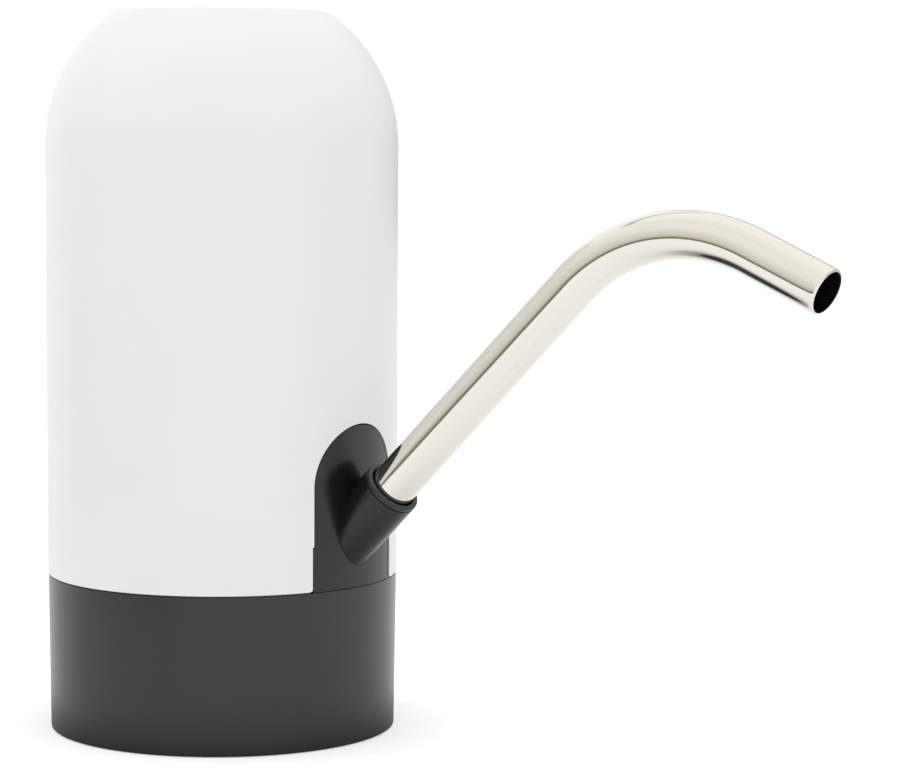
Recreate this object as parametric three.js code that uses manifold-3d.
// Electric pump that stands on the neck of a large water jug.
// Millimetres, +Z up. Heights are counted from the rim that the pump stands on,
// and the whole group is lowered at the end so that the origin is where the jug's mouth stops.
import * as THREE from 'three';
import { mergeVertices } from 'three/addons/utils/BufferGeometryUtils.js';
import Module from 'manifold-3d';

const wasm = await Module();
wasm.setup();

// Clearance between two pieces that seat on each other, and how far a cut runs past its stock.
const GAP = 0.3;
const OVERRUN = 1;

// Facets round the body, round middle-sized pieces and round screws.
const BODY_SIDES = 40;
const TOP_SIDES = 24;
const ROUND_SIDES = 16;
const SMALL_SIDES = 8;
const SCREW_SIDES = 6;
const GRIP_SIDES = 6;
const CORNER_STEPS = 2;

// Body: a straight cylinder, a round shoulder and a small flat top.
const BODY_RADIUS = 36;
const BODY_HEIGHT = 147;
const SHELL_WALL = 2;
const DOME_RADIUS = 33;
const TOP_RADIUS = 21.7;
const TOP_CORNER = 0.8;
const SHELL_LIP_CHAMFER = 0.3;
const DOME_STEPS = 6;
const INNER_DOME_STEPS = 3;

// Collar that goes over the jug's neck.
const COLLAR_HEIGHT = 31.9;
const COLLAR_INSET = 0.1;
const COLLAR_DRAFT = 0.4;
const COLLAR_EDGE = 0.4;
const SKIRT_WALL = 2.3;
const NECK_RADIUS = 28.2;
const NECK_WALL = 2;
const NECK_DEPTH = 22;
const NECK_LEAD_IN = 0.8;
const NECK_LIFT = 0.6;
const FLOOR_WALL = 3;
const LEDGE_WALL = 1.3;
const COLLAR_RIB_COUNT = 8;
const COLLAR_RIB_WALL = 1.6;
const COLLAR_RIB_LIFT = 4;
const GRIP_RIB_COUNT = 8;
const GRIP_RIB_RADIUS = 1;
const GRIP_RIB_PROUD = 0.6;
const GRIP_RIB_LIFT = 2.5;
const GRIP_RIB_LENGTH = 16;

// Ring that stands up inside the shell, with the bead that the shell snaps over.
const UPSTAND_HEIGHT = 5.6;
const UPSTAND_WALL = 2.1;
const BEAD_HEIGHT = 2.1;
const BEAD_RISE = 2.1;
const BEAD_PROUD = 0.5;

// Arch in the front of the shell.
const ARCH_HALF_WIDTH = 12.2;
const ARCH_TOP = 64.8;
const ARCH_FOOT_WIDER = 0.3;
const ARCH_FOOT_TOP = 41;
const ARCH_CORNER = 0.6;
const ARCH_STEPS = 10;

// Plate that fills the arch.
const PLATE_RECESS = 0.2;
const PLATE_WALL = 2.4;
const PLATE_FLANGE = 2.8;
const PLATE_FLANGE_WALL = 2.7;
const PLATE_WEB_WALL = 2.2;
const PLATE_WEB_HALF_WIDTH = 10;
const PLATE_WEB_TOP = 40;
const PLATE_FOOT_LENGTH = 8;
const PLATE_FOOT_WALL = 2.2;
const PLATE_SCREW_SPREAD = 7.5;

// Spout socket: its mouth, its slant and the nipple behind it.
const SPOUT_SLANT = THREE.MathUtils.degToRad(44.4);
const MOUTH_REACH = 7.2;
const MOUTH_HEIGHT = 51.8;
const TUBE_RADIUS = 4.6;
const TUBE_WALL = 0.55;
const SOCKET_WALL = 1.1;
const SOCKET_DEPTH = 9.7;
const SOCKET_LIP = 0.45;
const NIPPLE_RADIUS = 3;
const NIPPLE_BORE = 2;
const NIPPLE_BARB = 0.3;
const NIPPLE_LENGTH = 6;
const ELBOW_WALL = 1.9;
const ELBOW_HEIGHT = 39;

// Spout tube, from its end in the socket to its mouth.
const TUBE_RISE = 60.8;
const TUBE_BEND_RADIUS = 35.6;
const TUBE_TURN = THREE.MathUtils.degToRad(67.8);
const TUBE_OUTLET = 16.5;
const TUBE_SIDES = 16;
const TUBE_BEND_STEPS = 9;
const SEAL_SECTION = 1;

// Button in the flat top.
const BUTTON_RADIUS = 13;
const BUTTON_INSET = 0.2;
const BUTTON_WALL = 1.6;
const BUTTON_TOP_WALL = 2;
const BUTTON_FLANGE = 1.9;
const BUTTON_FLANGE_WALL = 1.4;
const BUTTON_STEM_RADIUS = 2;
const BUTTON_TRAVEL = 0.8;
const LIGHT_RING_WIDTH = 2.1;
const LIGHT_FLANGE = 1.2;
const LIGHT_FLANGE_WALL = 1.5;

// Switch under the button, on a round board.
const SWITCH_SIZE = 6;
const SWITCH_HEIGHT = 3.4;
const PLUNGER_RADIUS = 1.7;
const PLUNGER_RISE = 1.4;
const PLUNGER_SUNK = 0.7;
const STEM_LENGTH = 5.5;
const BOARD_WALL = 1.2;
const LAMP_COUNT = 4;
const LAMP_LENGTH = 2;
const LAMP_WIDTH = 1.2;
const LAMP_HEIGHT = 1;
const LAMP_CIRCLE = 12.8;

// Carrier of the switch board, screwed to three bosses under the top.
const CARRIER_WALL = 1.5;
const CARRIER_RUNNING_GAP = 0.4;
const CARRIER_EAR_WALL = 1.4;
const TOP_BOSS_COUNT = 3;
const TOP_BOSS_RADIUS = 2.2;
const TOP_BOSS_LENGTH = 5.5;
const TOP_BOSS_MARGIN = 2.6;
const EAR_HALF_WIDTH = 2.6;
const CABLE_HOLE_RADIUS = 2.6;
const CABLE_HOLE_OFFSET = 8;

// Screws: one size throughout.
const SCREW_RADIUS = 1.1;
const SCREW_HEAD_RADIUS = 2.1;
const SCREW_HEAD_HEIGHT = 1.4;
const SCREW_CROWN_SHARE = 0.7;
const SCREW_BITE = 4;
const BOSS_RADIUS = 3;
const PILOT_FLOOR = 1.2;

// Pump head: two gears between a cover and a body.
const PUMP_X = -8;
const PUMP_Y = -8;
const PUMP_TURN = THREE.MathUtils.degToRad(20);
const PUMP_RADIUS = 14;
const PAD_WALL = 3;
const PAD_WIDTH = 4;
const COVER_WALL = 3;
const PUMP_ROOF = 4.3;
const GEAR_TEETH = 10;
const GEAR_MODULE = 1;
const GEAR_WIDTH = 7.6;
const GEAR_BACKLASH = 0.25;
const PRESSURE_ANGLE = THREE.MathUtils.degToRad(20);
const ADDENDUM_SHARE = 0.85;
const DEDENDUM_SHARE = 1.2;
const FLANK_STEPS = 2;
const PORT_OFFSET = 4;
const INLET_LENGTH = 14;
const PUMP_SCREW_OFFSET = 8;
const PUMP_EAR_OFFSET = 17;
const PUMP_EAR_ANGLES = [Math.PI, -Math.PI / 4];
const PUMP_EAR_RADIUS = 3.2;
const SHAFT_SEAL_RADIUS = 3.2;
const SHAFT_SEAL_HEIGHT = 2.6;

// Motor on top of the pump head.
const MOTOR_RADIUS = 12.2;
const MOTOR_LENGTH = 30.5;
const MOTOR_WALL = 1;
const MOTOR_FACE_WALL = 1.2;
const MOTOR_CAP_WALL = 2.8;
const MOTOR_CUP_WALL = 1.4;
const MOTOR_CUP_HEIGHT = 3.4;
const SHAFT_RADIUS = 1;
const MAGNET_WALL = 2.3;
const MAGNET_LENGTH = 23;
const MAGNET_SPAN = THREE.MathUtils.degToRad(130);
const MAGNET_STEPS = 6;
const ROTOR_AIR_GAP = 0.5;
const ROTOR_LENGTH = 19;
const ROTOR_POLES = 3;
const ROTOR_SLOT = 3;
const ROTOR_CORE_SHARE = 0.5;

// Round lithium cell.
const CELL_RADIUS = 9.2;
const CELL_LENGTH = 65;
const CELL_CAP_RADIUS = 4;
const CELL_CAP_HEIGHT = 1;
const CELL_X = -4;
const TAB_RADIUS = 4.5;
const TAB_WALL = 0.5;
const TAB_WIDTH = 4;
const TAB_REACH = 13;

// Chassis: an upright wall with a ring for the motor, clips for the cell and seats for the board.
const CHASSIS_WALL = 2;
const CHASSIS_BACK_INSET = 8;
const CHASSIS_FRONT_X = 12;
const CHASSIS_FOOT_WALL = 2.2;
const CHASSIS_FOOT_LENGTH = 9;
const CHASSIS_FOOT_WIDTH = 8;
const CHASSIS_PUMP_GAP = 0.6;
const SHELF_WALL = 2;
const SHELF_LIFT = 2.4;
const SHELF_DEPTH = 14;
const CLIP_WALL = 1.6;
const CLIP_HEIGHT = 10;
const CLIP_OPENING = THREE.MathUtils.degToRad(130);
const CLIP_STEPS = 8;
const CLIP_PLACE_SHARES = [0.22, 0.82];
const MOTOR_RING_WALL = 1.8;
const MOTOR_RING_HEIGHT = 8;
const MOTOR_RING_SHARE = 0.55;
const MOTOR_WEB_WIDTH = 8;
const SLOT_WIDTH = 7;
const SLOT_HEIGHT = 14;
const SLOT_ROUND = 2;

// Control board with the charging socket at its back edge.
const PORT_HEIGHT = 58;
const CONTROL_WIDTH = 13;
const CONTROL_HEIGHT = 40;
const CONTROL_BACK_INSET = 2.5;
const CONTROL_BELOW_PORT = 12;
const CONTROL_SCREW_INSET = 9.5;
const CONTROL_SCREW_EDGE = 4;
const CONTROL_BOSS_RADIUS = 2.2;
const USB_WIDTH = 7.5;
const USB_HEIGHT = 2.6;
const USB_LENGTH = 5.3;
const USB_INSET = 0.9;
const USB_SKIN = 0.3;
const USB_TONGUE_WIDTH = 3.6;
const USB_TONGUE_WALL = 0.6;
const USB_CAVITY = 4.4;
const PORT_CUT_MARGIN = 1.3;
const PORT_RECESS_WIDTH = 8.4;
const PORT_RECESS_HEIGHT = 12.4;
const PORT_RECESS_ROUND = 2.6;
const PORT_RECESS_DEPTH = 1.1;
const PORT_CUT_ROUND = 1;
const CHIP_SIZE = 5;
const CHIP_HEIGHT = 1.4;
const CHIP_DROP = 8;

// Soft hose from the pump to the socket, with two spring clips.
const HOSE_WALL = 1.6;
const HOSE_STEPS = 5;
const HOSE_SIDES = 10;
const HOSE_END_GAP = 0.5;
const CLIP_RING_WALL = 0.7;
const CLIP_RING_WIDTH = 2.4;
const CLIP_RING_INSET = 1.6;

// Leads.
const LEAD_RADIUS = 0.7;
const CABLE_RADIUS = 1.3;
const LEAD_SIDES = 5;
const LEAD_STEPS = 7;
const LEAD_PITCH = 3;
const LEAD_SLACK = 12;
const CABLE_SLACK = 20;
const MOTOR_LEAD_OFFSET = 6;

// Heights and radii that follow from the sizes above.
const SHELL_FOOT = COLLAR_HEIGHT + GAP;
const SHELL_INNER = BODY_RADIUS - SHELL_WALL;
const UPSTAND_OUTER = SHELL_INNER - GAP;
const UPSTAND_INNER = UPSTAND_OUTER - UPSTAND_WALL;
const UPSTAND_TOP = COLLAR_HEIGHT + UPSTAND_HEIGHT;
const FLOOR_TOP = NECK_DEPTH + FLOOR_WALL;
const LEDGE_TOP = NECK_DEPTH + LEDGE_WALL;
const BOSS_TOP = FLOOR_TOP + GAP + PAD_WALL;
const SEAT = BOSS_TOP + GAP;
const ARCH_FOOT_HALF_WIDTH = ARCH_HALF_WIDTH + ARCH_FOOT_WIDER;

const TOP_UNDERSIDE = BODY_HEIGHT - SHELL_WALL;
const LIGHT_INNER = BUTTON_RADIUS + GAP;
const LIGHT_OUTER = LIGHT_INNER + LIGHT_RING_WIDTH;
const LIGHT_FLANGE_TOP = TOP_UNDERSIDE - GAP;
const LIGHT_FLANGE_FOOT = LIGHT_FLANGE_TOP - LIGHT_FLANGE_WALL;
const TOP_HOLE = LIGHT_OUTER + GAP;
const BUTTON_TOP = BODY_HEIGHT - BUTTON_INSET;
const BUTTON_FLANGE_TOP = LIGHT_FLANGE_FOOT - GAP;
const BUTTON_FOOT = BUTTON_FLANGE_TOP - BUTTON_FLANGE_WALL;
const BUTTON_OUTER = BUTTON_RADIUS + BUTTON_FLANGE;
const STEM_FOOT = BUTTON_TOP - BUTTON_TOP_WALL - STEM_LENGTH;
const PLUNGER_TOP = STEM_FOOT - GAP;
const SWITCH_TOP = PLUNGER_TOP - PLUNGER_RISE;
const PLUNGER_FOOT = SWITCH_TOP - PLUNGER_SUNK;
const SWITCH_FOOT = SWITCH_TOP - SWITCH_HEIGHT;
const SWITCH_BOARD_TOP = SWITCH_FOOT - GAP;
const CARRIER_FLOOR_TOP = SWITCH_BOARD_TOP - BOARD_WALL - GAP;
const CARRIER_INNER = BUTTON_OUTER + CARRIER_RUNNING_GAP;
const CARRIER_OUTER = CARRIER_INNER + CARRIER_WALL;
const TOP_BOSS_CIRCLE = CARRIER_OUTER + TOP_BOSS_MARGIN;
const TOP_BOSS_FOOT = TOP_UNDERSIDE - TOP_BOSS_LENGTH;
const EAR_TOP = TOP_BOSS_FOOT - GAP;
const EAR_FOOT = EAR_TOP - CARRIER_EAR_WALL;

const SOCKET_BORE = TUBE_RADIUS + GAP;
const SOCKET_RADIUS = SOCKET_BORE + SOCKET_WALL;
const MOUTH = new THREE.Vector3(BODY_RADIUS + MOUTH_REACH, 0, MOUTH_HEIGHT);
const SPOUT_AXIS = new THREE.Vector3(Math.cos(SPOUT_SLANT), 0, Math.sin(SPOUT_SLANT));
const ELBOW_DISTANCE = (MOUTH_HEIGHT - ELBOW_HEIGHT) / Math.sin(SPOUT_SLANT);
const ELBOW = MOUTH.clone().addScaledVector(SPOUT_AXIS, -ELBOW_DISTANCE);
const ELBOW_RADIUS = NIPPLE_BORE + ELBOW_WALL;
const PLATE_OUTER = BODY_RADIUS - PLATE_RECESS;
const WEB_OUTER = UPSTAND_INNER - GAP;
const WEB_INNER = WEB_OUTER - PLATE_WEB_WALL;
const PLATE_SCREW_X = WEB_INNER - PLATE_FOOT_LENGTH / 2;

const GEAR_CENTRES = GEAR_MODULE * GEAR_TEETH + GEAR_BACKLASH;
const GEAR_TIP = GEAR_MODULE * (GEAR_TEETH / 2 + ADDENDUM_SHARE);
const CHAMBER_RADIUS = GEAR_TIP + GAP;
const COVER_TOP = SEAT + COVER_WALL;
const PUMP_FOOT = COVER_TOP + GAP;
const CHAMBER_TOP = PUMP_FOOT + GEAR_WIDTH + GAP;
const PUMP_TOP = CHAMBER_TOP + PUMP_ROOF;
const OUTLET_HEIGHT = CHAMBER_TOP - GAP - NIPPLE_BORE;
const SHAFT_HOLE = SHAFT_RADIUS + GAP;
const MOTOR_FOOT = PUMP_TOP + GAP;
const MOTOR_TOP = MOTOR_FOOT + MOTOR_LENGTH;
const MOTOR_CAP_FOOT = MOTOR_TOP + GAP;
const MOTOR_CAP_TOP = MOTOR_CAP_FOOT + MOTOR_CAP_WALL;
const MOTOR_INNER = MOTOR_RADIUS - MOTOR_WALL;
const MOTOR_CUP_OUTER = MOTOR_RADIUS + GAP + MOTOR_CUP_WALL;
const PUMP_REACH = Math.max(PUMP_RADIUS, MOTOR_CUP_OUTER);

const WALL_FRONT_Y = PUMP_Y + PUMP_RADIUS + CHASSIS_PUMP_GAP;
const WALL_BACK_Y = WALL_FRONT_Y + CHASSIS_WALL;
const CELL_Y = WALL_BACK_Y + GAP + CELL_RADIUS;
const SHELF_FOOT = SEAT + CHASSIS_FOOT_WALL + SHELF_LIFT;
const SHELF_TOP = SHELF_FOOT + SHELF_WALL;
const CELL_FOOT = SHELF_TOP + GAP + TAB_WALL + GAP;
const CELL_TOP = CELL_FOOT + CELL_LENGTH;
const TOP_TAB_FOOT = CELL_TOP + CELL_CAP_HEIGHT + GAP;
const TOP_SHELF_FOOT = TOP_TAB_FOOT + TAB_WALL + GAP;
const CHASSIS_TOP = TOP_SHELF_FOOT + SHELF_WALL;

const CHASSIS_BACK_X = CHASSIS_BACK_INSET - SHELL_INNER;
const USB_FACE_X = USB_INSET - SHELL_INNER;
const CONTROL_BACK_X = CONTROL_BACK_INSET - SHELL_INNER;
const CONTROL_FRONT_X = CONTROL_BACK_X + CONTROL_WIDTH;
const CONTROL_FACE_Y = USB_HEIGHT / 2 + GAP;
const CONTROL_REAR_Y = CONTROL_FACE_Y + BOARD_WALL;
const CONTROL_FOOT = PORT_HEIGHT - CONTROL_BELOW_PORT;
const CONTROL_TOP = CONTROL_FOOT + CONTROL_HEIGHT;
const CONTROL_SCREW_X = CONTROL_BACK_X + CONTROL_SCREW_INSET;
const CONTROL_SCREW_HEIGHTS = [CONTROL_FOOT + CONTROL_SCREW_EDGE, CONTROL_TOP - CONTROL_SCREW_EDGE];

const HOSE_BORE = NIPPLE_RADIUS + NIPPLE_BARB + GAP;
const HOSE_RADIUS = HOSE_BORE + HOSE_WALL;

const MATERIALS = {
  whiteShell: new THREE.MeshStandardMaterial({ color: 0xf0efec, roughness: 0.35 }),
  blackShell: new THREE.MeshStandardMaterial({ color: 0x2e2e2e, roughness: 0.5 }),
  innerFrame: new THREE.MeshStandardMaterial({ color: 0x454648, roughness: 0.6 }),
  steel: new THREE.MeshStandardMaterial({ color: 0xd8d5ce, roughness: 0.18, metalness: 1 }),
  nickel: new THREE.MeshStandardMaterial({ color: 0xb9b8b2, roughness: 0.35, metalness: 1 }),
  magnet: new THREE.MeshStandardMaterial({ color: 0x34312f, roughness: 0.7 }),
  rubber: new THREE.MeshStandardMaterial({ color: 0x202020, roughness: 0.8 }),
  silicone: new THREE.MeshStandardMaterial({ color: 0xdfe2e0, roughness: 0.5 }),
  diffuser: new THREE.MeshStandardMaterial({ color: 0xe8eef0, roughness: 0.4 }),
  circuitBoard: new THREE.MeshStandardMaterial({ color: 0x1f5a37, roughness: 0.5 }),
  chip: new THREE.MeshStandardMaterial({ color: 0x1a1a1c, roughness: 0.6 }),
  lamp: new THREE.MeshStandardMaterial({ color: 0xf2efd8, roughness: 0.4 }),
  gear: new THREE.MeshStandardMaterial({ color: 0xe9e4d4, roughness: 0.45 }),
  cell: new THREE.MeshStandardMaterial({ color: 0x3b6ea5, roughness: 0.4 }),
  redLead: new THREE.MeshStandardMaterial({ color: 0xb3261e, roughness: 0.5 }),
  blackLead: new THREE.MeshStandardMaterial({ color: 0x1c1c1c, roughness: 0.5 }),
};

// Turns a closed geometry into a solid that can be joined and cut. Faces always end up pointing out.
function solidOf(geometry) {
  const bare = geometry.clone();
  bare.deleteAttribute('normal');
  bare.deleteAttribute('uv');
  const merged = mergeVertices(bare);
  const places = merged.attributes.position.array;
  const corners = [];
  let volume = 0;
  for (let i = 0; i < merged.index.count; i += 3) {
    const [a, b, c] = merged.index.array.slice(i, i + 3);
    if (a !== b && b !== c && c !== a) {
      corners.push([a, b, c]);
      const [p, q, r] = [a, b, c].map((v) => new THREE.Vector3().fromArray(places, 3 * v));
      volume += p.dot(q.cross(r));
    }
  }
  const triVerts = Uint32Array.from(corners.flatMap((face) => (volume < 0 ? face.reverse() : face)));
  return new wasm.Manifold(new wasm.Mesh({ numProp: 3, vertProperties: places, triVerts }));
}

const asSolid = (piece) => (piece.isBufferGeometry ? solidOf(piece) : piece);
const join = (...pieces) => pieces.map(asSolid).reduce((sum, piece) => sum.add(piece));
const less = (rest, tool) => rest.subtract(asSolid(tool));
const cut = (stock, ...tools) => tools.reduce(less, asSolid(stock));
const shared = (first, second) => asSolid(first).intersect(asSolid(second));

// A body of revolution about Z from a closed profile of [radius, height] pairs.
function turned(profile, sides = ROUND_SIDES) {
  const points = [...profile, profile[0]].map(([radius, height]) => new THREE.Vector2(radius, height));
  return new THREE.LatheGeometry(points, sides).rotateX(Math.PI / 2);
}

function ring(inner, outer, foot, top, sides = ROUND_SIDES) {
  return turned([[inner, foot], [outer, foot], [outer, top], [inner, top]], sides);
}

function drum(radius, foot, top, x = 0, y = 0, sides = ROUND_SIDES) {
  const geometry = new THREE.CylinderGeometry(radius, radius, top - foot, sides);
  return geometry.rotateX(Math.PI / 2).translate(x, y, (foot + top) / 2);
}

function block(x0, x1, y0, y1, z0, z1) {
  const geometry = new THREE.BoxGeometry(x1 - x0, y1 - y0, z1 - z0);
  return geometry.translate((x0 + x1) / 2, (y0 + y1) / 2, (z0 + z1) / 2);
}

// A flat outline pushed along one axis. The outline's two coordinates are the other two axes.
function alongZ(shape, z0, z1, steps = ROUND_SIDES) {
  const options = { depth: z1 - z0, bevelEnabled: false, curveSegments: steps };
  const geometry = new THREE.ExtrudeGeometry(shape, options);
  return geometry.translate(0, 0, z0);
}

function alongX(shape, x0, x1, steps = ROUND_SIDES) {
  const turn = new THREE.Matrix4().makeBasis(
    new THREE.Vector3(0, 1, 0),
    new THREE.Vector3(0, 0, 1),
    new THREE.Vector3(1, 0, 0),
  );
  return alongZ(shape, x0, x1, steps).applyMatrix4(turn);
}

function alongY(shape, y0, y1, steps = ROUND_SIDES) {
  return alongZ(shape, -y1, -y0, steps).rotateX(Math.PI / 2);
}

// A round bar between two points.
function bar(from, to, radius, sides = ROUND_SIDES) {
  const along = new THREE.Vector3().subVectors(to, from);
  const side = new THREE.Vector3(0, 1, 0);
  const turn = new THREE.Quaternion().setFromUnitVectors(side, along.clone().normalize());
  const middle = new THREE.Vector3().addVectors(from, to).multiplyScalar(1 / 2);
  const geometry = new THREE.CylinderGeometry(radius, radius, along.length(), sides);
  return geometry.applyQuaternion(turn).translate(middle.x, middle.y, middle.z);
}

function roundedRectangle(x0, x1, y0, y1, corner) {
  const shape = new THREE.Shape();
  shape.moveTo(x0 + corner, y0);
  shape.lineTo(x1 - corner, y0);
  shape.absarc(x1 - corner, y0 + corner, corner, -Math.PI / 2, 0);
  shape.lineTo(x1, y1 - corner);
  shape.absarc(x1 - corner, y1 - corner, corner, 0, Math.PI / 2);
  shape.lineTo(x0 + corner, y1);
  shape.absarc(x0 + corner, y1 - corner, corner, Math.PI / 2, Math.PI);
  shape.lineTo(x0, y0 + corner);
  shape.absarc(x0 + corner, y0 + corner, corner, Math.PI, 3 * Math.PI / 2);
  return shape;
}

// A path given by its stations, so that straight runs need no steps between their ends.
class StationPath extends THREE.Curve {
  constructor(stations) {
    super();
    this.stations = stations;
  }

  station(share) {
    return this.stations[Math.round(share * (this.stations.length - 1))];
  }

  getPointAt(share) {
    return this.station(share).point.clone();
  }

  getTangentAt(share) {
    return this.station(share).tangent.clone();
  }
}

// A polygon close to a circle, drawn with corners on the circle.
function polygon(radius, sides) {
  const corners = [];
  for (let i = 0; i < sides; i += 1) {
    const angle = 2 * Math.PI * i / sides;
    corners.push(new THREE.Vector2(radius * Math.cos(angle), radius * Math.sin(angle)));
  }
  return corners;
}

function pipe(path, steps, radius, bore, sides) {
  const section = new THREE.Shape(polygon(radius, sides));
  if (bore > 0) {
    section.holes.push(new THREE.Path(polygon(bore, sides)));
  }
  return new THREE.ExtrudeGeometry(section, { steps, extrudePath: path, bevelEnabled: false });
}

// Moves a piece that was made about Z, with its origin at the mouth, onto the spout's slanting axis.
function onSpoutAxis(geometry) {
  return geometry.rotateY(Math.PI / 2 - SPOUT_SLANT).translate(MOUTH.x, MOUTH.y, MOUTH.z);
}

// The arch, with a foot that is a little wider up to a height.
function archOutline(halfWidth, foot, footTop, top) {
  const footHalfWidth = halfWidth + ARCH_FOOT_WIDER;
  const shape = new THREE.Shape();
  shape.moveTo(-footHalfWidth, foot);
  shape.lineTo(footHalfWidth, foot);
  shape.lineTo(footHalfWidth, footTop);
  shape.lineTo(halfWidth, footTop);
  shape.absarc(0, top - halfWidth, halfWidth, 0, Math.PI);
  shape.lineTo(-halfWidth, footTop);
  shape.lineTo(-footHalfWidth, footTop);
  return shape;
}

// What rounds off the shell's two corners beside the foot of the arch.
function archCorners() {
  const wide = ARCH_FOOT_HALF_WIDTH + ARCH_CORNER;
  const high = SHELL_FOOT + ARCH_CORNER;
  const shape = new THREE.Shape();
  shape.moveTo(-wide, SHELL_FOOT - OVERRUN);
  shape.lineTo(wide, SHELL_FOOT - OVERRUN);
  shape.absarc(wide, high, ARCH_CORNER, 3 * Math.PI / 2, Math.PI, true);
  shape.absarc(-wide, high, ARCH_CORNER, 0, -Math.PI / 2, true);
  return shape;
}

// The shoulder's arc in a half section: its centre, and the angle where it meets the flat top.
const SHOULDER_RADIUS = BODY_RADIUS - DOME_RADIUS;
const SHOULDER_ANGLE = Math.acos((TOP_RADIUS - SHOULDER_RADIUS) / DOME_RADIUS);
const SHOULDER_HEIGHT = BODY_HEIGHT - DOME_RADIUS * Math.sin(SHOULDER_ANGLE);

// Points of that arc, or of one inside it by a wall, from the straight side up to a height.
function shoulderArc(wall, endHeight, steps) {
  const radius = DOME_RADIUS - wall;
  const endAngle = Math.asin((endHeight - SHOULDER_HEIGHT) / radius);
  const points = [];
  for (let i = 0; i <= steps; i += 1) {
    const angle = endAngle * i / steps;
    points.push([SHOULDER_RADIUS + radius * Math.cos(angle), SHOULDER_HEIGHT + radius * Math.sin(angle)]);
  }
  return points;
}

// A screw made head up about Z, with the underside of its head at zero. It holds down one wall.
function screw(wall) {
  const length = wall + 2 * GAP + SCREW_BITE;
  return turned([
    [0, SCREW_HEAD_HEIGHT],
    [SCREW_HEAD_RADIUS * SCREW_CROWN_SHARE, SCREW_HEAD_HEIGHT],
    [SCREW_HEAD_RADIUS, SCREW_HEAD_HEIGHT / 2],
    [SCREW_HEAD_RADIUS, 0],
    [SCREW_RADIUS, 0],
    [SCREW_RADIUS, -length],
    [0, -length],
  ], SCREW_SIDES);
}

// Angles that spread a number of like features evenly round Z, from a first one.
function turns(count, first = 0) {
  return Array.from({ length: count }, (_, i) => first + 2 * Math.PI * i / count);
}

// The same as places on a circle.
function around(count, radius, first = 0) {
  const place = (turn) => new THREE.Vector3(radius * Math.cos(turn), radius * Math.sin(turn), 0);
  return turns(count, first).map(place);
}

const topBossPlaces = () => around(TOP_BOSS_COUNT, TOP_BOSS_CIRCLE, Math.PI / 2);

// A point of the pump head's own frame, seen from above.
function pumpPoint(x, y) {
  return new THREE.Vector3(x, y, 0).applyAxisAngle(new THREE.Vector3(0, 0, 1), PUMP_TURN)
    .add(new THREE.Vector3(PUMP_X, PUMP_Y, 0));
}

function pumpEarPlace(angle) {
  return new THREE.Vector3(PUMP_EAR_OFFSET * Math.cos(angle), PUMP_EAR_OFFSET * Math.sin(angle), 0);
}

const pumpEars = () => PUMP_EAR_ANGLES.map(pumpEarPlace).map(({ x, y }) => pumpPoint(x, y));

function chassisFeet() {
  const y = WALL_BACK_Y + CHASSIS_FOOT_LENGTH / 2;
  const inset = CHASSIS_FOOT_WIDTH / 2 + OVERRUN;
  return [CHASSIS_BACK_X + inset, CHASSIS_FRONT_X - inset].map((x) => new THREE.Vector3(x, y, 0));
}

function plateFeet() {
  return [-PLATE_SCREW_SPREAD, PLATE_SCREW_SPREAD].map((y) => new THREE.Vector3(PLATE_SCREW_X, y, 0));
}

// White shell: wall, shoulder and top in one revolve, then the arch, the charging port and the bosses.
function domeShell() {
  const bead = beadHeights();
  const shell = turned([
    [BODY_RADIUS - SHELL_LIP_CHAMFER, SHELL_FOOT],
    [BODY_RADIUS, SHELL_FOOT + SHELL_LIP_CHAMFER],
    ...shoulderArc(0, BODY_HEIGHT - TOP_CORNER * Math.cos(SHOULDER_ANGLE), DOME_STEPS),
    [TOP_RADIUS - TOP_CORNER, BODY_HEIGHT],
    [TOP_HOLE, BODY_HEIGHT],
    [TOP_HOLE, TOP_UNDERSIDE],
    ...shoulderArc(SHELL_WALL, TOP_UNDERSIDE, INNER_DOME_STEPS).reverse(),
    [SHELL_INNER, bead.top + GAP],
    [SHELL_INNER + BEAD_PROUD, bead.crest],
    [SHELL_INNER, bead.foot - GAP],
    [SHELL_INNER, SHELL_FOOT],
  ], BODY_SIDES);
  const behindArch = SHELL_INNER - ARCH_HALF_WIDTH;
  const archShape = archOutline(ARCH_HALF_WIDTH, SHELL_FOOT - OVERRUN, ARCH_FOOT_TOP, ARCH_TOP);
  const arch = alongX(archShape, behindArch, BODY_RADIUS + OVERRUN, ARCH_STEPS);
  const corners = alongX(archCorners(), behindArch, BODY_RADIUS + OVERRUN, CORNER_STEPS);
  const bosses = topBossPlaces().map(({ x, y }) => (
    drum(TOP_BOSS_RADIUS, TOP_BOSS_FOOT, TOP_UNDERSIDE + SHELL_WALL / 4, x, y, SMALL_SIDES)
  ));
  const pilots = topBossPlaces().map(({ x, y }) => (
    drum(SCREW_RADIUS + GAP, TOP_BOSS_FOOT - OVERRUN, TOP_UNDERSIDE - PILOT_FLOOR, x, y, SMALL_SIDES)
  ));
  return cut(join(shell, ...bosses), arch, corners, ...portCuts(), ...pilots);
}

function portCuts() {
  const halfWide = PORT_RECESS_WIDTH / 2;
  const halfTall = PORT_RECESS_HEIGHT / 2;
  const recess = roundedRectangle(
    -halfWide,
    halfWide,
    PORT_HEIGHT - halfTall,
    PORT_HEIGHT + halfTall,
    PORT_RECESS_ROUND,
  );
  const wide = USB_HEIGHT / 2 + PORT_CUT_MARGIN;
  const tall = USB_WIDTH / 2 + PORT_CUT_MARGIN;
  const opening = roundedRectangle(-wide, wide, PORT_HEIGHT - tall, PORT_HEIGHT + tall, PORT_CUT_ROUND);
  const outside = -BODY_RADIUS - OVERRUN;
  return [
    alongX(recess, outside, PORT_RECESS_DEPTH - BODY_RADIUS, CORNER_STEPS),
    alongX(opening, outside, OVERRUN - SHELL_INNER, CORNER_STEPS),
  ];
}

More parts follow.
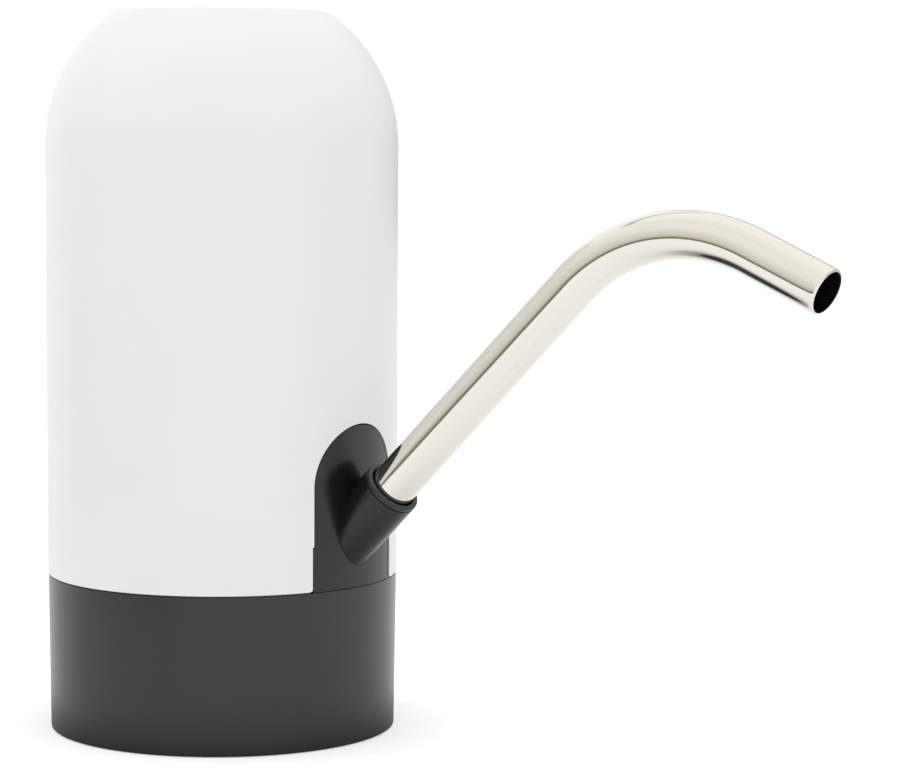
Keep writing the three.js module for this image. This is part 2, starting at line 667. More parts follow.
function beadHeights() {
  const foot = COLLAR_HEIGHT + BEAD_RISE;
  const top = foot + BEAD_HEIGHT;
  return { foot, crest: (foot + top) / 2, top };
}

// Black collar: skirt, ledge and upstand in one revolve, then the webs that steady the neck socket.
function baseCollar() {
  const bead = beadHeights();
  const outer = BODY_RADIUS - COLLAR_INSET;
  const foot = outer - COLLAR_DRAFT;
  const skirtInner = foot - SKIRT_WALL;
  const ledgeInner = NECK_RADIUS + NECK_WALL + GAP;
  const body = turned([
    [foot - COLLAR_EDGE, 0],
    [foot, COLLAR_EDGE],
    [outer, COLLAR_HEIGHT - SHELL_LIP_CHAMFER],
    [outer - SHELL_LIP_CHAMFER, COLLAR_HEIGHT],
    [UPSTAND_OUTER, COLLAR_HEIGHT],
    [UPSTAND_OUTER, bead.foot],
    [UPSTAND_OUTER + BEAD_PROUD, bead.crest],
    [UPSTAND_OUTER, bead.top],
    [UPSTAND_OUTER, UPSTAND_TOP],
    [UPSTAND_INNER, UPSTAND_TOP],
    [UPSTAND_INNER, LEDGE_TOP],
    [ledgeInner, LEDGE_TOP],
    [ledgeInner, NECK_DEPTH],
    [skirtInner, NECK_DEPTH],
    [skirtInner, 0],
  ], BODY_SIDES);

  const half = COLLAR_RIB_WALL / 2;
  const webs = turns(COLLAR_RIB_COUNT, Math.PI / COLLAR_RIB_COUNT).map((turn) => (
    block(ledgeInner, skirtInner + GAP, -half, half, COLLAR_RIB_LIFT, NECK_DEPTH + GAP).rotateZ(turn)
  ));
  const notchHalf = ARCH_FOOT_HALF_WIDTH + PLATE_FLANGE + GAP;
  const notch = block(0, BODY_RADIUS, -notchHalf, notchHalf, COLLAR_HEIGHT, UPSTAND_TOP + OVERRUN);
  return cut(join(body, ...webs), notch);
}

// Neck socket: a cup that rests on the collar's ledge, with grip ribs inside and screw bosses on its floor.
function neckSocket() {
  const neckOuter = NECK_RADIUS + NECK_WALL;
  const flange = UPSTAND_INNER - GAP;
  const cup = turned([
    [0, FLOOR_TOP],
    [0, NECK_DEPTH],
    [NECK_RADIUS, NECK_DEPTH],
    [NECK_RADIUS, NECK_LIFT + NECK_LEAD_IN],
    [NECK_RADIUS + NECK_LEAD_IN, NECK_LIFT],
    [neckOuter, NECK_LIFT],
    [neckOuter, LEDGE_TOP + GAP],
    [flange, LEDGE_TOP + GAP],
    [flange, FLOOR_TOP],
  ], BODY_SIDES);
  const gripCircle = NECK_RADIUS + GRIP_RIB_RADIUS - GRIP_RIB_PROUD;
  const grips = around(GRIP_RIB_COUNT, gripCircle).map(({ x, y }) => (
    drum(GRIP_RIB_RADIUS, GRIP_RIB_LIFT, GRIP_RIB_LIFT + GRIP_RIB_LENGTH, x, y, GRIP_SIDES)
  ));

  const screwed = [...pumpEars(), ...chassisFeet(), ...plateFeet()];
  const bosses = screwed.map(({ x, y }) => (
    drum(BOSS_RADIUS, FLOOR_TOP - OVERRUN, BOSS_TOP, x, y, SMALL_SIDES)
  ));
  const pilots = screwed.map(({ x, y }) => (
    drum(SCREW_RADIUS + GAP, NECK_DEPTH + PILOT_FLOOR, BOSS_TOP + OVERRUN, x, y, SMALL_SIDES)
  ));
  const inlet = pumpPoint(-PORT_OFFSET, 0);
  const inletHole = drum(
    NIPPLE_RADIUS + NIPPLE_BARB + GAP,
    NECK_DEPTH - OVERRUN,
    FLOOR_TOP + OVERRUN,
    inlet.x,
    inlet.y,
  );
  return cut(join(cup, ...grips, ...bosses), ...pilots, inletHole);
}

// Black plate in the arch, with the spout's socket, an elbow and the hose nipple moulded on it.
function spoutPlate() {
  const footTop = ARCH_FOOT_TOP - GAP;
  const skinShape = archOutline(ARCH_HALF_WIDTH - GAP, SHELL_FOOT, footTop, ARCH_TOP - GAP);
  const skin = shared(
    ring(PLATE_OUTER - PLATE_WALL, PLATE_OUTER, 0, BODY_HEIGHT, BODY_SIDES),
    alongX(skinShape, 0, BODY_RADIUS, ARCH_STEPS),
  );
  const flangeTop = ARCH_TOP + PLATE_FLANGE;
  const flangeShape = archOutline(ARCH_HALF_WIDTH + PLATE_FLANGE, SHELL_FOOT, footTop, flangeTop);
  const flange = shared(
    ring(UPSTAND_OUTER - PLATE_FLANGE_WALL, UPSTAND_OUTER, 0, BODY_HEIGHT, BODY_SIDES),
    alongX(flangeShape, 0, BODY_RADIUS, ARCH_STEPS),
  );
  const half = PLATE_WEB_HALF_WIDTH;
  const web = shared(
    ring(WEB_INNER, WEB_OUTER, SEAT, PLATE_WEB_TOP, BODY_SIDES),
    block(0, BODY_RADIUS, -half, half, 0, BODY_HEIGHT),
  );
  const footTip = WEB_INNER - PLATE_FOOT_LENGTH;
  const foot = shared(
    block(footTip, WEB_OUTER, -half, half, SEAT, SEAT + PLATE_FOOT_WALL),
    drum(WEB_OUTER, SEAT, SEAT + PLATE_FOOT_WALL, 0, 0, BODY_SIDES),
  );
  const stub = onSpoutAxis(turned([
    [0, 0],
    [SOCKET_RADIUS - SOCKET_LIP, 0],
    [SOCKET_RADIUS, -SOCKET_LIP],
    [SOCKET_RADIUS, -SOCKET_DEPTH - SOCKET_WALL],
    [0, -SOCKET_DEPTH - SOCKET_WALL],
  ]));
  // The lower side of the stub runs on until it meets the plate.
  const plateMiddle = PLATE_OUTER - PLATE_WALL / 2;
  const underside = MOUTH.x + SOCKET_RADIUS * SPOUT_AXIS.z - plateMiddle;
  const stubRoot = cut(
    onSpoutAxis(drum(SOCKET_RADIUS, -underside / SPOUT_AXIS.x, -SOCKET_DEPTH)),
    drum(plateMiddle, 0, BODY_HEIGHT, 0, 0, BODY_SIDES),
  );
  const passage = bar(MOUTH.clone().addScaledVector(SPOUT_AXIS, -SOCKET_DEPTH), ELBOW, ELBOW_RADIUS);
  const knee = new THREE.SphereGeometry(ELBOW_RADIUS, SMALL_SIDES, SMALL_SIDES / 2)
    .translate(ELBOW.x, 0, ELBOW.z);
  const nippleTip = ELBOW.clone();
  nippleTip.x -= ELBOW_RADIUS + NIPPLE_LENGTH;
  const barbEnd = nippleTip.clone();
  barbEnd.x += NIPPLE_LENGTH / 3;
  const nipple = bar(nippleTip, ELBOW, NIPPLE_RADIUS);
  const barb = bar(nippleTip, barbEnd, NIPPLE_RADIUS + NIPPLE_BARB);

  const socketBore = onSpoutAxis(drum(SOCKET_BORE, -SOCKET_DEPTH, OVERRUN));
  const passageBore = bar(MOUTH, ELBOW, NIPPLE_BORE);
  const kneeBore = new THREE.SphereGeometry(NIPPLE_BORE, SMALL_SIDES, SMALL_SIDES / 2)
    .translate(ELBOW.x, 0, ELBOW.z);
  const boreEnd = nippleTip.clone();
  boreEnd.x -= OVERRUN;
  const nippleBore = bar(boreEnd, ELBOW, NIPPLE_BORE);
  const holes = plateFeet().map(({ x, y }) => (
    drum(SCREW_RADIUS + GAP, SEAT - OVERRUN, SEAT + PLATE_FOOT_WALL + OVERRUN, x, y, SMALL_SIDES)
  ));
  return cut(
    join(skin, flange, web, foot, stub, stubRoot, passage, knee, nipple, barb),
    socketBore,
    passageBore,
    kneeBore,
    nippleBore,
    ...holes,
  );
}

// Stations of the spout: straight up the slant, round the bend and out.
function spoutPath() {
  const side = new THREE.Vector3(0, 1, 0);
  const towards = SPOUT_AXIS.clone();
  const foot = MOUTH.clone().addScaledVector(SPOUT_AXIS, GAP - SOCKET_DEPTH);
  const bendStart = MOUTH.clone().addScaledVector(SPOUT_AXIS, TUBE_RISE);
  const inward = SPOUT_AXIS.clone().applyAxisAngle(side, Math.PI / 2);
  const centre = bendStart.clone().addScaledVector(inward, TUBE_BEND_RADIUS);
  const stations = [{ point: foot, tangent: towards }];
  for (let i = 0; i <= TUBE_BEND_STEPS; i += 1) {
    const angle = TUBE_TURN * i / TUBE_BEND_STEPS;
    const spoke = bendStart.clone().sub(centre).applyAxisAngle(side, angle);
    const tangent = towards.clone().applyAxisAngle(side, angle);
    stations.push({ point: centre.clone().add(spoke), tangent });
  }
  const { point: bendEnd, tangent } = stations[stations.length - 1];
  stations.push({ point: bendEnd.clone().addScaledVector(tangent, TUBE_OUTLET), tangent });
  return stations;
}

function spoutTube() {
  const stations = spoutPath();
  const bore = TUBE_RADIUS - TUBE_WALL;
  return pipe(new StationPath(stations), stations.length - 1, TUBE_RADIUS, bore, TUBE_SIDES);
}

function sealRing() {
  const inner = TUBE_RADIUS + GAP;
  const section = SEAL_SECTION;
  const edge = section / 4;
  return onSpoutAxis(turned([
    [inner, GAP],
    [inner + section - edge, GAP],
    [inner + section, GAP + edge],
    [inner + section, GAP + section - edge],
    [inner + section - edge, GAP + section],
    [inner, GAP + section],
  ]));
}

function lightRing() {
  return turned([
    [LIGHT_INNER, LIGHT_FLANGE_FOOT],
    [LIGHT_OUTER + LIGHT_FLANGE, LIGHT_FLANGE_FOOT],
    [LIGHT_OUTER + LIGHT_FLANGE, LIGHT_FLANGE_TOP],
    [LIGHT_OUTER, LIGHT_FLANGE_TOP],
    [LIGHT_OUTER, BUTTON_TOP],
    [LIGHT_INNER, BUTTON_TOP],
  ], TOP_SIDES);
}

function buttonCap() {
  const under = BUTTON_TOP - BUTTON_TOP_WALL;
  const skirtInner = BUTTON_RADIUS - BUTTON_WALL;
  return turned([
    [0, BUTTON_TOP],
    [BUTTON_RADIUS - SHELL_LIP_CHAMFER, BUTTON_TOP],
    [BUTTON_RADIUS, BUTTON_TOP - SHELL_LIP_CHAMFER],
    [BUTTON_RADIUS, BUTTON_FLANGE_TOP],
    [BUTTON_OUTER, BUTTON_FLANGE_TOP],
    [BUTTON_OUTER, BUTTON_FOOT],
    [skirtInner, BUTTON_FOOT],
    [skirtInner, under],
    [BUTTON_STEM_RADIUS, under],
    [BUTTON_STEM_RADIUS, STEM_FOOT],
    [0, STEM_FOOT],
  ], TOP_SIDES);
}

function switchPlunger() {
  return drum(PLUNGER_RADIUS, PLUNGER_FOOT, PLUNGER_TOP, 0, 0, SMALL_SIDES);
}

function tactSwitch() {
  const half = SWITCH_SIZE / 2;
  const wellFoot = PLUNGER_FOOT - BUTTON_TRAVEL - GAP;
  return cut(
    block(-half, half, -half, half, SWITCH_FOOT, SWITCH_TOP),
    drum(PLUNGER_RADIUS + GAP, wellFoot, SWITCH_TOP + OVERRUN, 0, 0, SMALL_SIDES),
  );
}

function switchBoard() {
  return drum(CARRIER_INNER - GAP, SWITCH_BOARD_TOP - BOARD_WALL, SWITCH_BOARD_TOP);
}

function lamp() {
  return block(-LAMP_WIDTH / 2, LAMP_WIDTH / 2, -LAMP_LENGTH / 2, LAMP_LENGTH / 2, 0, LAMP_HEIGHT);
}

// Round cup that guides the button, holds the light ring up and carries the switch board.
function buttonCarrier() {
  const tab = roundedRectangle(
    CARRIER_INNER + CARRIER_WALL / 2,
    TOP_BOSS_CIRCLE + TOP_BOSS_RADIUS,
    -EAR_HALF_WIDTH,
    EAR_HALF_WIDTH,
    TOP_BOSS_RADIUS / 2,
  );
  const ears = turns(TOP_BOSS_COUNT, Math.PI / 2).map((turn) => (
    alongZ(tab, EAR_FOOT, EAR_TOP, CORNER_STEPS).rotateZ(turn)
  ));
  const holes = topBossPlaces().map(({ x, y }) => (
    drum(SCREW_RADIUS + GAP, EAR_FOOT - OVERRUN, EAR_TOP + OVERRUN, x, y, SMALL_SIDES)
  ));
  const cup = turned([
    [0, CARRIER_FLOOR_TOP - CARRIER_WALL],
    [CARRIER_OUTER, CARRIER_FLOOR_TOP - CARRIER_WALL],
    [CARRIER_OUTER, BUTTON_FLANGE_TOP],
    [CARRIER_INNER, BUTTON_FLANGE_TOP],
    [CARRIER_INNER, CARRIER_FLOOR_TOP],
    [0, CARRIER_FLOOR_TOP],
  ], TOP_SIDES);
  const cableHole = drum(
    CABLE_HOLE_RADIUS,
    CARRIER_FLOOR_TOP - CARRIER_WALL - OVERRUN,
    CARRIER_FLOOR_TOP + OVERRUN,
    -CABLE_HOLE_OFFSET,
    0,
    SMALL_SIDES,
  );
  return cut(join(cup, ...ears), cableHole, ...holes);
}

// Outline of one gear tooth after another, with involute flanks down to the base circle.
function gearOutline() {
  const pitch = GEAR_MODULE * GEAR_TEETH / 2;
  const base = pitch * Math.cos(PRESSURE_ANGLE);
  const root = pitch - DEDENDUM_SHARE * GEAR_MODULE;
  const involute = (angle) => Math.tan(angle) - angle;
  const halfTooth = Math.PI / (2 * GEAR_TEETH) - GEAR_BACKLASH / (2 * GEAR_CENTRES);
  const flank = [[root, halfTooth + involute(PRESSURE_ANGLE)]];
  for (let i = 0; i <= FLANK_STEPS; i += 1) {
    const radius = base + (GEAR_TIP - base) * i / FLANK_STEPS;
    flank.push([radius, halfTooth + involute(PRESSURE_ANGLE) - involute(Math.acos(base / radius))]);
  }
  const corners = [];
  for (let tooth = 0; tooth < GEAR_TEETH; tooth += 1) {
    const middle = 2 * Math.PI * tooth / GEAR_TEETH;
    const rising = flank.map(([radius, angle]) => [radius, middle - angle]);
    const falling = flank.map(([radius, angle]) => [radius, middle + angle]).reverse();
    for (const [radius, angle] of [...rising, ...falling]) {
      corners.push(new THREE.Vector2(radius * Math.cos(angle), radius * Math.sin(angle)));
    }
  }
  const shape = new THREE.Shape(corners);
  shape.holes.push(new THREE.Path(polygon(SHAFT_HOLE, SMALL_SIDES)));
  return shape;
}

function gear() {
  return alongZ(gearOutline(), PUMP_FOOT, CHAMBER_TOP - GAP);
}

// Pump head pieces are made about the middle between the two gears: outlet along +X, idler along +Y.
const DRIVE_Y = -GEAR_CENTRES / 2;
const IDLER_Y = GEAR_CENTRES / 2;

function pumpScrewPlaces() {
  const offset = PUMP_SCREW_OFFSET;
  return [[offset, offset], [-offset, offset], [-offset, -offset], [offset, -offset]];
}

function pumpPad() {
  const half = PUMP_RADIUS - SCREW_HEAD_RADIUS;
  return cut(
    drum(half, FLOOR_TOP + GAP, FLOOR_TOP + GAP + PAD_WALL),
    drum(half - PAD_WIDTH, FLOOR_TOP, SEAT + OVERRUN),
  );
}

function pumpCover() {
  const nippleFoot = SEAT - PAD_WALL - GAP - FLOOR_WALL - INLET_LENGTH;
  const plate = drum(PUMP_RADIUS, SEAT, COVER_TOP);
  const ears = PUMP_EAR_ANGLES.map(pumpEarPlace).map(({ x, y }) => (
    drum(PUMP_EAR_RADIUS, SEAT, COVER_TOP, x, y, SMALL_SIDES)
  ));
  const arms = PUMP_EAR_ANGLES.map((angle) => (
    block(0, PUMP_EAR_OFFSET, -PUMP_EAR_RADIUS, PUMP_EAR_RADIUS, SEAT, COVER_TOP).rotateZ(angle)
  ));
  const nipple = drum(NIPPLE_RADIUS, nippleFoot, COVER_TOP, -PORT_OFFSET, 0);
  const barb = turned([
    [0, nippleFoot],
    [NIPPLE_RADIUS - NIPPLE_BARB, nippleFoot],
    [NIPPLE_RADIUS + NIPPLE_BARB, nippleFoot + NIPPLE_LENGTH / 3],
    [0, nippleFoot + NIPPLE_LENGTH / 3],
  ]).translate(-PORT_OFFSET, 0, 0);
  const bore = drum(NIPPLE_BORE, nippleFoot - OVERRUN, COVER_TOP + OVERRUN, -PORT_OFFSET, 0);
  const holes = pumpScrewPlaces().map(([x, y]) => (
    drum(SCREW_RADIUS + GAP, SEAT - OVERRUN, COVER_TOP + OVERRUN, x, y, SMALL_SIDES)
  ));
  const sinks = pumpScrewPlaces().map(([x, y]) => (
    drum(SCREW_HEAD_RADIUS + GAP, SEAT - OVERRUN, SEAT + SCREW_HEAD_HEIGHT + 2 * GAP, x, y, SMALL_SIDES)
  ));
  const earHoles = PUMP_EAR_ANGLES.map(pumpEarPlace).map(({ x, y }) => (
    drum(SCREW_RADIUS + GAP, SEAT - OVERRUN, COVER_TOP + OVERRUN, x, y, SMALL_SIDES)
  ));
  return cut(join(plate, ...ears, ...arms, nipple, barb), bore, ...holes, ...sinks, ...earHoles);
}

function pumpBody() {
  const main = drum(PUMP_RADIUS, PUMP_FOOT, PUMP_TOP);
  const shelf = drum(MOTOR_CUP_OUTER, CHAMBER_TOP, PUMP_TOP + MOTOR_CUP_HEIGHT, 0, DRIVE_Y);
  const nippleTip = PUMP_REACH + NIPPLE_LENGTH;
  const tip = new THREE.Vector3(nippleTip, 0, OUTLET_HEIGHT);
  const root = new THREE.Vector3(PUMP_RADIUS - NIPPLE_LENGTH / 2, 0, OUTLET_HEIGHT);
  const barbFoot = new THREE.Vector3(nippleTip - NIPPLE_LENGTH / 3, 0, OUTLET_HEIGHT);
  const nipple = bar(root, tip, NIPPLE_RADIUS);
  const barb = bar(barbFoot, tip, NIPPLE_RADIUS + NIPPLE_BARB);

  const cup = drum(MOTOR_RADIUS + GAP, PUMP_TOP, PUMP_TOP + MOTOR_CUP_HEIGHT + OVERRUN, 0, DRIVE_Y);
  const chambers = [DRIVE_Y, IDLER_Y].map((y) => (
    drum(CHAMBER_RADIUS, PUMP_FOOT - OVERRUN, CHAMBER_TOP, 0, y)
  ));
  const outlet = bar(
    new THREE.Vector3(0, 0, OUTLET_HEIGHT),
    new THREE.Vector3(nippleTip + OVERRUN, 0, OUTLET_HEIGHT),
    NIPPLE_BORE,
    SMALL_SIDES,
  );
  const shaftHole = drum(SHAFT_HOLE, CHAMBER_TOP - OVERRUN, PUMP_TOP + OVERRUN, 0, DRIVE_Y, SMALL_SIDES);
  const sealFoot = PUMP_TOP - SHAFT_SEAL_HEIGHT - GAP;
  const sealSeat = drum(SHAFT_SEAL_RADIUS + GAP, sealFoot, PUMP_TOP + OVERRUN, 0, DRIVE_Y);
  const pinEnd = CHAMBER_TOP + PUMP_ROOF / 2;
  const pinHole = drum(SHAFT_HOLE, CHAMBER_TOP - OVERRUN, pinEnd, 0, IDLER_Y, SMALL_SIDES);
  const holes = pumpScrewPlaces().map(([x, y]) => (
    drum(SCREW_RADIUS + GAP, PUMP_FOOT - OVERRUN, PUMP_FOOT + SCREW_BITE + GAP, x, y, SMALL_SIDES)
  ));
  return cut(
    join(main, shelf, nipple, barb),
    cup,
    ...chambers,
    outlet,
    shaftHole,
    sealSeat,
    pinHole,
    ...holes,
  );
}

function idlerPin() {
  return drum(SHAFT_RADIUS, PUMP_FOOT, CHAMBER_TOP + PUMP_ROOF / 2 - GAP, 0, 0, SMALL_SIDES);
}

function shaftSeal() {
  return ring(SHAFT_HOLE, SHAFT_SEAL_RADIUS, PUMP_TOP - SHAFT_SEAL_HEIGHT, PUMP_TOP);
}

function motorCan() {
  return turned([
    [SHAFT_HOLE, MOTOR_FOOT],
    [MOTOR_RADIUS - MOTOR_WALL / 2, MOTOR_FOOT],
    [MOTOR_RADIUS, MOTOR_FOOT + MOTOR_WALL / 2],
    [MOTOR_RADIUS, MOTOR_TOP],
    [MOTOR_INNER, MOTOR_TOP],
    [MOTOR_INNER, MOTOR_FOOT + MOTOR_FACE_WALL],
    [SHAFT_HOLE, MOTOR_FOOT + MOTOR_FACE_WALL],
  ]);
}

function motorEndCap() {
  const spigot = MOTOR_INNER - GAP;
  const inner = spigot - MOTOR_WALL;
  const rim = MOTOR_CAP_FOOT - MOTOR_WALL;
  return turned([
    [0, MOTOR_CAP_TOP],
    [MOTOR_RADIUS - MOTOR_WALL / 2, MOTOR_CAP_TOP],
    [MOTOR_RADIUS, MOTOR_CAP_TOP - MOTOR_WALL / 2],
    [MOTOR_RADIUS, MOTOR_CAP_FOOT],
    [spigot, MOTOR_CAP_FOOT],
    [spigot, rim],
    [inner, rim],
    [inner, MOTOR_CAP_FOOT],
    [SHAFT_HOLE, MOTOR_CAP_FOOT],
    [SHAFT_HOLE, MOTOR_CAP_FOOT + MOTOR_CAP_WALL / 2],
    [0, MOTOR_CAP_FOOT + MOTOR_CAP_WALL / 2],
  ]);
}

function motorMagnet() {
  const outer = MOTOR_INNER - GAP;
  const inner = outer - MAGNET_WALL;
  const shape = new THREE.Shape();
  shape.absarc(0, 0, outer, -MAGNET_SPAN / 2, MAGNET_SPAN / 2);
  shape.absarc(0, 0, inner, MAGNET_SPAN / 2, -MAGNET_SPAN / 2, true);
  const middle = (MOTOR_FOOT + MOTOR_TOP) / 2;
  return alongZ(shape, middle - MAGNET_LENGTH / 2, middle + MAGNET_LENGTH / 2, MAGNET_STEPS);
}

// Stack of three-pole laminations: a disc with three slots down to the core.
function motorRotor() {
  const radius = MOTOR_INNER - GAP - MAGNET_WALL - ROTOR_AIR_GAP;
  const middle = (MOTOR_FOOT + MOTOR_TOP) / 2;
  const foot = middle - ROTOR_LENGTH / 2;
  const top = middle + ROTOR_LENGTH / 2;
  const slots = turns(ROTOR_POLES).map((turn) => block(
    radius * ROTOR_CORE_SHARE,
    radius + OVERRUN,
    -ROTOR_SLOT / 2,
    ROTOR_SLOT / 2,
    foot - OVERRUN,
    top + OVERRUN,
  ).rotateZ(turn));
  return cut(ring(SHAFT_HOLE, radius, foot, top), ...slots);
}

function motorShaft() {
  return drum(SHAFT_RADIUS, PUMP_FOOT, MOTOR_CAP_FOOT + MOTOR_CAP_WALL / 2 - GAP, 0, 0, SMALL_SIDES);
}

function cell() {
  return turned([
    [0, CELL_FOOT],
    [CELL_RADIUS - SHELL_LIP_CHAMFER, CELL_FOOT],
    [CELL_RADIUS, CELL_FOOT + SHELL_LIP_CHAMFER],
    [CELL_RADIUS, CELL_TOP - SHELL_LIP_CHAMFER],
    [CELL_RADIUS - SHELL_LIP_CHAMFER, CELL_TOP],
    [CELL_CAP_RADIUS, CELL_TOP],
    [CELL_CAP_RADIUS, CELL_TOP + CELL_CAP_HEIGHT],
    [0, CELL_TOP + CELL_CAP_HEIGHT],
  ]);
}

function contactTab(foot) {
  const disc = drum(TAB_RADIUS, foot, foot + TAB_WALL);
  const tongue = block(-TAB_REACH, 0, -TAB_WIDTH / 2, TAB_WIDTH / 2, foot, foot + TAB_WALL);
  return join(disc, tongue);
}

// Upright wall that carries the cell on one side and the motor and board on the other.
function chassis() {
  const outline = roundedRectangle(CHASSIS_BACK_X, CHASSIS_FRONT_X, SEAT, CHASSIS_TOP, SLOT_ROUND);
  const [lowScrew, highScrew] = CONTROL_SCREW_HEIGHTS;
  for (const middle of [(SEAT + CHASSIS_FOOT_WALL + lowScrew) / 2, (lowScrew + highScrew) / 2]) {
    const x0 = CHASSIS_BACK_X + SLOT_ROUND;
    const foot = middle - SLOT_HEIGHT / 2;
    outline.holes.push(roundedRectangle(x0, x0 + SLOT_WIDTH, foot, foot + SLOT_HEIGHT, SLOT_ROUND));
  }
  const wall = alongY(outline, WALL_FRONT_Y, WALL_BACK_Y, CORNER_STEPS);

  const feet = chassisFeet().map(({ x }) => block(
    x - CHASSIS_FOOT_WIDTH / 2,
    x + CHASSIS_FOOT_WIDTH / 2,
    WALL_FRONT_Y,
    WALL_BACK_Y + CHASSIS_FOOT_LENGTH,
    SEAT,
    SEAT + CHASSIS_FOOT_WALL,
  ));
  const shelf = (foot) => block(
    CELL_X - CELL_RADIUS,
    CELL_X + CELL_RADIUS,
    WALL_FRONT_Y,
    WALL_BACK_Y + SHELF_DEPTH,
    foot,
    foot + SHELF_WALL,
  );

  const clipInner = CELL_RADIUS + GAP;
  const clipOuter = clipInner + CLIP_WALL;
  const clips = CLIP_PLACE_SHARES.map((share) => {
    const shape = new THREE.Shape();
    const from = Math.PI / 2 + CLIP_OPENING / 2;
    const to = 5 * Math.PI / 2 - CLIP_OPENING / 2;
    shape.absarc(CELL_X, CELL_Y, clipOuter, from, to);
    shape.absarc(CELL_X, CELL_Y, clipInner, to, from, true);
    const foot = CELL_FOOT + share * CELL_LENGTH - CLIP_HEIGHT / 2;
    return alongZ(shape, foot, foot + CLIP_HEIGHT, CLIP_STEPS);
  });

  const motor = pumpPoint(0, DRIVE_Y);
  const ringFoot = MOTOR_FOOT + MOTOR_LENGTH * MOTOR_RING_SHARE;
  const ringTop = ringFoot + MOTOR_RING_HEIGHT;
  const motorRing = drum(MOTOR_RADIUS + GAP + MOTOR_RING_WALL, ringFoot, ringTop, motor.x, motor.y);
  const motorWeb = block(
    motor.x - MOTOR_WEB_WIDTH / 2,
    motor.x + MOTOR_WEB_WIDTH / 2,
    motor.y,
    WALL_FRONT_Y + CHASSIS_WALL / 2,
    ringFoot,
    ringTop,
  );
  const motorHole = drum(MOTOR_RADIUS + GAP, ringFoot - OVERRUN, ringTop + OVERRUN, motor.x, motor.y);

  const boardBosses = CONTROL_SCREW_HEIGHTS.map((z) => bar(
    new THREE.Vector3(CONTROL_SCREW_X, CONTROL_REAR_Y + GAP, z),
    new THREE.Vector3(CONTROL_SCREW_X, WALL_FRONT_Y + CHASSIS_WALL / 2, z),
    CONTROL_BOSS_RADIUS,
    SMALL_SIDES,
  ));
  const boardPilots = CONTROL_SCREW_HEIGHTS.map((z) => bar(
    new THREE.Vector3(CONTROL_SCREW_X, CONTROL_REAR_Y, z),
    new THREE.Vector3(CONTROL_SCREW_X, WALL_BACK_Y - PILOT_FLOOR / 2, z),
    SCREW_RADIUS + GAP,
    SMALL_SIDES,
  ));
  const footHoles = chassisFeet().map(({ x, y }) => (
    drum(SCREW_RADIUS + GAP, SEAT - OVERRUN, SEAT + CHASSIS_FOOT_WALL + OVERRUN, x, y, SMALL_SIDES)
  ));
  const cellSpace = drum(clipInner, CELL_FOOT - GAP, CELL_TOP + GAP, CELL_X, CELL_Y);
  const shelves = [SHELF_FOOT, TOP_SHELF_FOOT].map(shelf);
  return cut(
    join(wall, ...feet, ...shelves, ...clips, motorRing, motorWeb, ...boardBosses),
    cellSpace,
    motorHole,
    ...boardPilots,
    ...footHoles,
  );
}

function controlBoard() {
  const board = block(
    CONTROL_BACK_X,
    CONTROL_FRONT_X,
    CONTROL_FACE_Y,
    CONTROL_REAR_Y,
    CONTROL_FOOT,
    CONTROL_TOP,
  );
  const holes = CONTROL_SCREW_HEIGHTS.map((z) => bar(
    new THREE.Vector3(CONTROL_SCREW_X, CONTROL_FACE_Y - OVERRUN, z),
    new THREE.Vector3(CONTROL_SCREW_X, CONTROL_REAR_Y + OVERRUN, z),
    SCREW_RADIUS + GAP,
    SMALL_SIDES,
  ));
  return cut(board, ...holes);
}

// Charging socket: a thin box with its mouth to the back and a tongue inside.
function usbSocket() {
  const tall = USB_WIDTH / 2;
  const wide = USB_HEIGHT / 2;
  const back = USB_FACE_X + USB_LENGTH;
  const hollow = USB_FACE_X + USB_CAVITY;
  const box = block(USB_FACE_X, back, -wide, wide, PORT_HEIGHT - tall, PORT_HEIGHT + tall);
  const space = block(
    USB_FACE_X - OVERRUN,
    hollow,
    USB_SKIN - wide,
    wide - USB_SKIN,
    PORT_HEIGHT - tall + USB_SKIN,
    PORT_HEIGHT + tall - USB_SKIN,
  );
  const tongue = block(
    USB_FACE_X + USB_SKIN,
    back,
    -USB_TONGUE_WALL / 2,
    USB_TONGUE_WALL / 2,
    PORT_HEIGHT - USB_TONGUE_WIDTH / 2,
    PORT_HEIGHT + USB_TONGUE_WIDTH / 2,
  );
  return join(cut(box, space), tongue);
}

function chargeChip() {
  const x0 = CONTROL_FRONT_X - CHIP_SIZE - GAP;
  const z0 = CONTROL_TOP - CONTROL_SCREW_EDGE - CHIP_DROP - CHIP_SIZE;
  const face = CONTROL_FACE_Y - GAP;
  return block(x0, x0 + CHIP_SIZE, face - CHIP_HEIGHT, face, z0, z0 + CHIP_SIZE);
}

// Soft hose: over the pump's nipple, across the gap in an easy curve, and over the plate's nipple.
function hoseEnds() {
  const outward = pumpPoint(1, 0).sub(pumpPoint(0, 0));
  const from = pumpPoint(PUMP_REACH + HOSE_END_GAP, 0).setZ(OUTLET_HEIGHT);
  const to = ELBOW.clone();
  to.x -= ELBOW_RADIUS + HOSE_END_GAP;
  const inward = new THREE.Vector3(1, 0, 0);
  const grip = NIPPLE_LENGTH - HOSE_END_GAP;
  const fromTip = from.clone().addScaledVector(outward, grip);
  const toTip = to.clone().addScaledVector(inward, -grip);
  return { from, fromTip, to, toTip, outward, inward };
}

